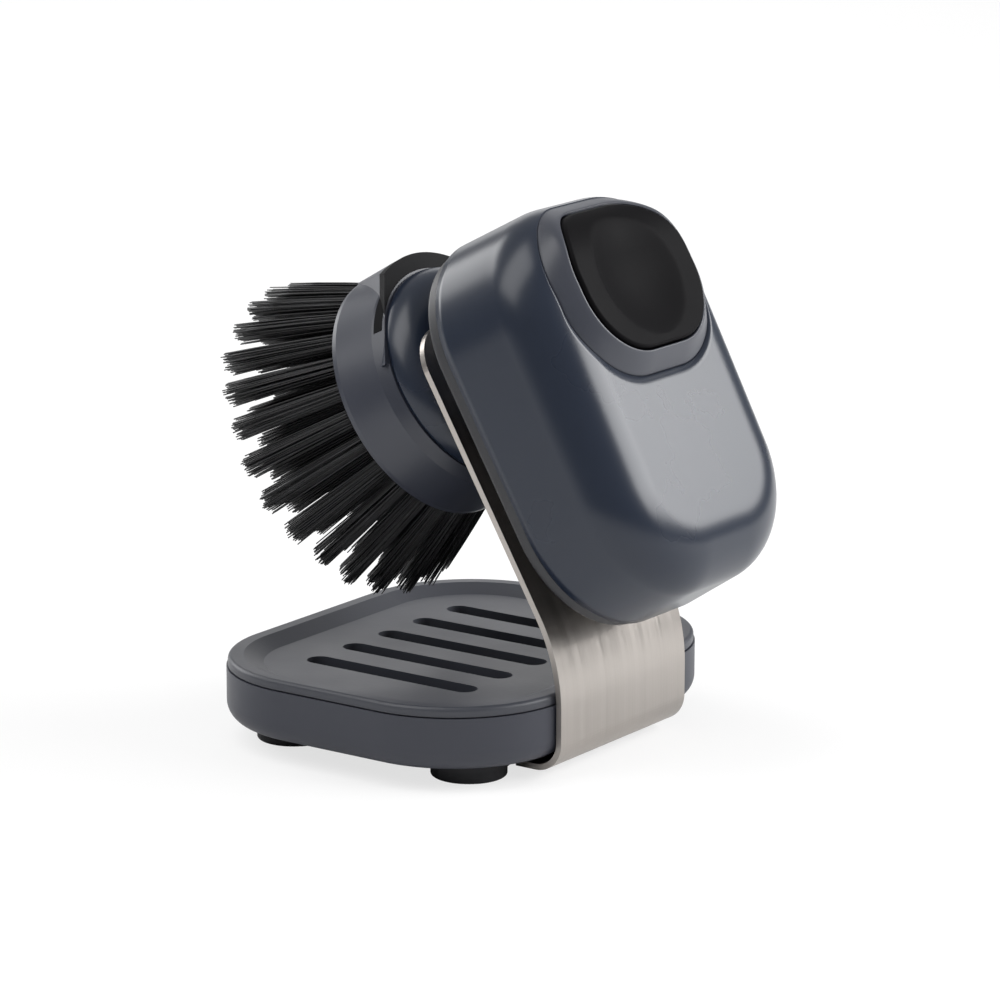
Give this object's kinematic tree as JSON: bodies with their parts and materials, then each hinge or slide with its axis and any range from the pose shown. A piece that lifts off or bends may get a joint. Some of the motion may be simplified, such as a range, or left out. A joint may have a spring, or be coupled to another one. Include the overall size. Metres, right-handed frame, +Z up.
{
  "type": "soap-dispensing dish brush with stand",
  "caption": "Palm-held dish brush with a soap reservoir and a thumb pump button, hung bristles down in the forked steel plate of a drip-tray stand.",
  "frame": {"origin": "table surface under the middle of the whole object, seen from above", "axes": "+Z up, X across the steel plate's width (the left-right symmetry direction of the stand), -Y towards the handle's side where the plate rises, +Y towards the bristles"},
  "size_m": [0.092, 0.1118, 0.1104],
  "materials": {
    "slate_plastic": "semi-gloss moulded",
    "smoke_shell": "high gloss, smoked",
    "black_plastic": "soft matte",
    "black_rubber": "soft matte",
    "brushed_steel": "fine lengthwise brushing",
    "screw_steel": "plain turned",
    "bristle_nylon": "fine satin strands",
    "pump_plastic": "natural moulded"
  },
  "bodies": {
    "stand": {"drip_tray": "slate_plastic", "rubber_feet": "black_rubber", "steel_bracket": "brushed_steel", "bracket_screws": "screw_steel"},
    "grid": {"drip_grid": "slate_plastic"},
    "brush": {"handle_base": "slate_plastic", "base_gasket": "black_rubber", "reservoir_shell": "smoke_shell", "base_screws": "screw_steel", "button_bezel": "slate_plastic", "pump_cylinder": "pump_plastic", "neck_dome": "smoke_shell", "neck_seal": "black_rubber", "button_spring": "screw_steel"},
    "button": {"push_button": "black_plastic", "plunger": "pump_plastic", "piston_seal": "black_rubber"},
    "stopper": {"filler_stopper": "black_rubber"},
    "head": {"head_cup": "slate_plastic", "head_grip_pad": "black_plastic", "bristle_block": "black_plastic", "outlet_nozzle": "pump_plastic", "outlet_valve": "black_rubber", "bristles_outer": "bristle_nylon", "bristles_second": "bristle_nylon", "bristles_third": "bristle_nylon", "bristles_inner": "bristle_nylon"}
  },
  "joints": [
    {"name": "grid_lift", "type": "slide", "parent": "stand", "child": "grid", "axis": [0, 0, 1], "range_m": [0, 0.0025]},
    {"name": "brush_lift", "type": "slide", "parent": "stand", "child": "brush", "axis": [0, 0.5075, 0.8616], "range_m": [0, 0.03]},
    {"name": "button_press", "type": "slide", "parent": "brush", "child": "button", "axis": [0, 0.8616, -0.5075], "range_m": [0, 0.0035], "stiffness_N_per_m": 800, "springref_m": -0.0015, "deforming": ["button_spring"]},
    {"name": "stopper_pull", "type": "slide", "parent": "brush", "child": "stopper", "axis": [0, 0.8616, -0.5075], "range_m": [0, 0.004]},
    {"name": "head_twist", "type": "hinge", "parent": "brush", "child": "head", "pos_m": [0, 0.00766, 0.0731], "axis": [0, 0.8616, -0.5075], "range_deg": [0, 30]}
  ]
}
